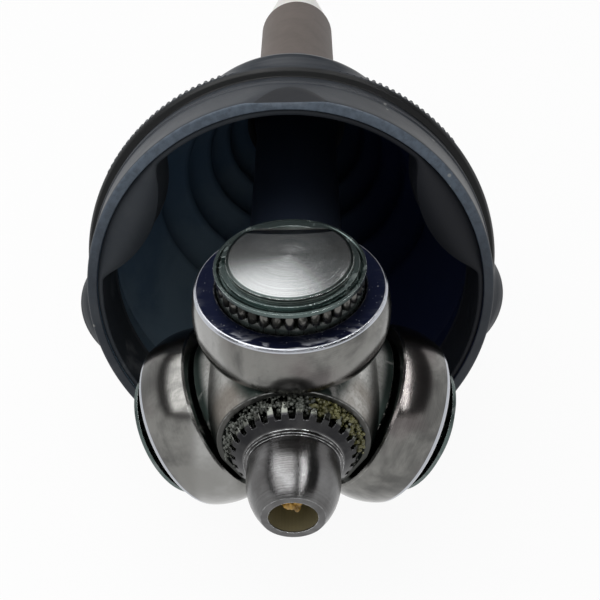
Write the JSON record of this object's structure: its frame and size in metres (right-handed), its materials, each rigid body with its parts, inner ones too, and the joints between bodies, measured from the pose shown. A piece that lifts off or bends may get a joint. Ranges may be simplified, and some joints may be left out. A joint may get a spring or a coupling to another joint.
{
  "type": "tripod constant velocity joint",
  "caption": "Inner tripod joint of a half shaft with its housing off: splined spider, crowned rollers on needles, and the open rubber boot behind.",
  "frame": {"origin": "joint centre, where the three trunnion axes meet the shaft axis", "axes": "+Y along the shaft away from its nose, +Z along the first trunnion, +X to the right seen from the nose"},
  "size_m": [0.0985, 0.231, 0.0895],
  "materials": {
    "shaft_steel": "matte phosphated bar with turned bright nose and splines",
    "spider_steel": "turned satin forging under a film of grease",
    "spring_steel": "oiled dark spring steel",
    "needle_steel": "ground and oiled",
    "roller_steel": "ground crown, dark end faces",
    "boot_rubber": "satin black rubber",
    "insert_rubber": "matt dark grey moulding",
    "band_steel": "bright crimped band",
    "cap_plastic": "dull white moulding"
  },
  "bodies": {
    "shaft": {"axle_shaft": "shaft_steel", "spider": "spider_steel", "shaft_circlip": "spring_steel", "rear_stop_ring": "spring_steel", "needle_retainer_1": "spring_steel", "needle_retainer_2": "spring_steel", "needle_retainer_3": "spring_steel", "trunnion_circlip_1": "spring_steel", "trunnion_circlip_2": "spring_steel", "trunnion_circlip_3": "spring_steel", "boot_bellows": "boot_rubber", "small_end_clamp": "band_steel", "end_cap": "cap_plastic"},
    "boot_mouth": {"boot_collar": "boot_rubber", "lobe_insert": "insert_rubber"},
    "needle_set_1": {"needles_1": "needle_steel"},
    "roller_1": {"roller_1": "roller_steel"},
    "needle_set_2": {"needles_2": "needle_steel"},
    "roller_2": {"roller_2": "roller_steel"},
    "needle_set_3": {"needles_3": "needle_steel"},
    "roller_3": {"roller_3": "roller_steel"}
  },
  "joints": [
    {"name": "boot_tilt", "type": "hinge", "parent": "shaft", "child": "boot_mouth", "pos_m": [0, 0.0306, 0], "axis": [1, 0, 0], "range_deg": [-7.8, 38.2], "stiffness_Nm_per_rad": 0.5, "deforming": ["boot_bellows"]},
    {"name": "roller_1_spin", "type": "hinge", "parent": "shaft", "child": "needle_set_1", "pos_m": [0, 0, 0], "axis": [0, 0, 1], "continuous": true},
    {"name": "roller_1_slide", "type": "slide", "parent": "needle_set_1", "child": "roller_1", "axis": [0, 0, 1], "range_m": [0, 0.0034]},
    {"name": "roller_2_spin", "type": "hinge", "parent": "shaft", "child": "needle_set_2", "pos_m": [0, 0, 0], "axis": [-0.866, 0, -0.5], "continuous": true},
    {"name": "roller_2_slide", "type": "slide", "parent": "needle_set_2", "child": "roller_2", "axis": [-0.866, 0, -0.5], "range_m": [-0.0003, 0.0031]},
    {"name": "roller_3_spin", "type": "hinge", "parent": "shaft", "child": "needle_set_3", "pos_m": [0, 0, 0], "axis": [0.866, 0, -0.5], "continuous": true},
    {"name": "roller_3_slide", "type": "slide", "parent": "needle_set_3", "child": "roller_3", "axis": [0.866, 0, -0.5], "range_m": [-0.0004, 0.003]}
  ]
}
